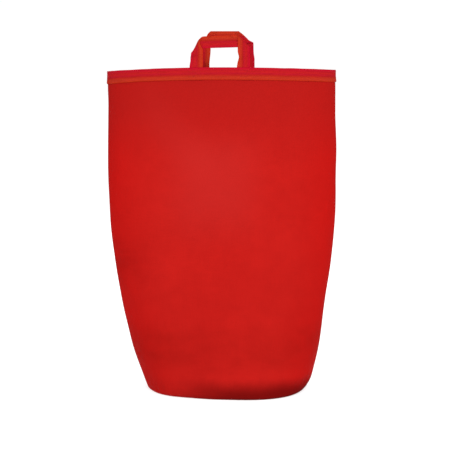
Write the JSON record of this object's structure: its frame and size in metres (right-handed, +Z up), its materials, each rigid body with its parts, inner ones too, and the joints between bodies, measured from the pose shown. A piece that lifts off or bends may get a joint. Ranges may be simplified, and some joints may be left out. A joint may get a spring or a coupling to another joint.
{
  "type": "sack race bag",
  "caption": "Tall red cloth jumping sack on a round base, its oval mouth edged with webbing, with folded webbing carrying loops at front and back.",
  "frame": {"origin": "on the floor, under the middle of the mouth", "axes": "+Z up to the mouth, +X to the right as the front is faced, -Y out of the front"},
  "size_m": [0.498, 0.3372, 0.778],
  "materials": {
    "sack_cloth": "matte woven polyester",
    "webbing": "ribbed webbing with a slight sheen",
    "binding_tape": "matte tape",
    "thread": "satin polyester thread"
  },
  "bodies": {
    "sack": {"front_panel": "sack_cloth", "back_panel": "sack_cloth", "base_panel": "sack_cloth", "front_rim_tape": "webbing", "back_rim_tape": "webbing", "front_handle_tails": "webbing", "back_handle_tails": "webbing", "left_seam_binding": "binding_tape", "right_seam_binding": "binding_tape", "base_seam_binding": "binding_tape", "front_rim_thread": "thread", "back_rim_thread": "thread", "front_handle_thread": "thread", "back_handle_thread": "thread", "left_seam_thread": "thread", "right_seam_thread": "thread", "base_seam_thread": "thread"},
    "front_loop": {"front_handle": "webbing"},
    "back_loop": {"back_handle": "webbing"}
  },
  "joints": [
    {"name": "front_handle_fold", "type": "hinge", "parent": "sack", "child": "front_loop", "pos_m": [-0.0024, -0.08552, 0.709], "axis": [1, 0, 0], "range_deg": [-161, 129], "stiffness_Nm_per_rad": 0.03},
    {"name": "back_handle_fold", "type": "hinge", "parent": "sack", "child": "back_loop", "pos_m": [0.01, 0.08552, 0.709], "axis": [-1, 0, 0], "range_deg": [-145, 145], "stiffness_Nm_per_rad": 0.03}
  ]
}
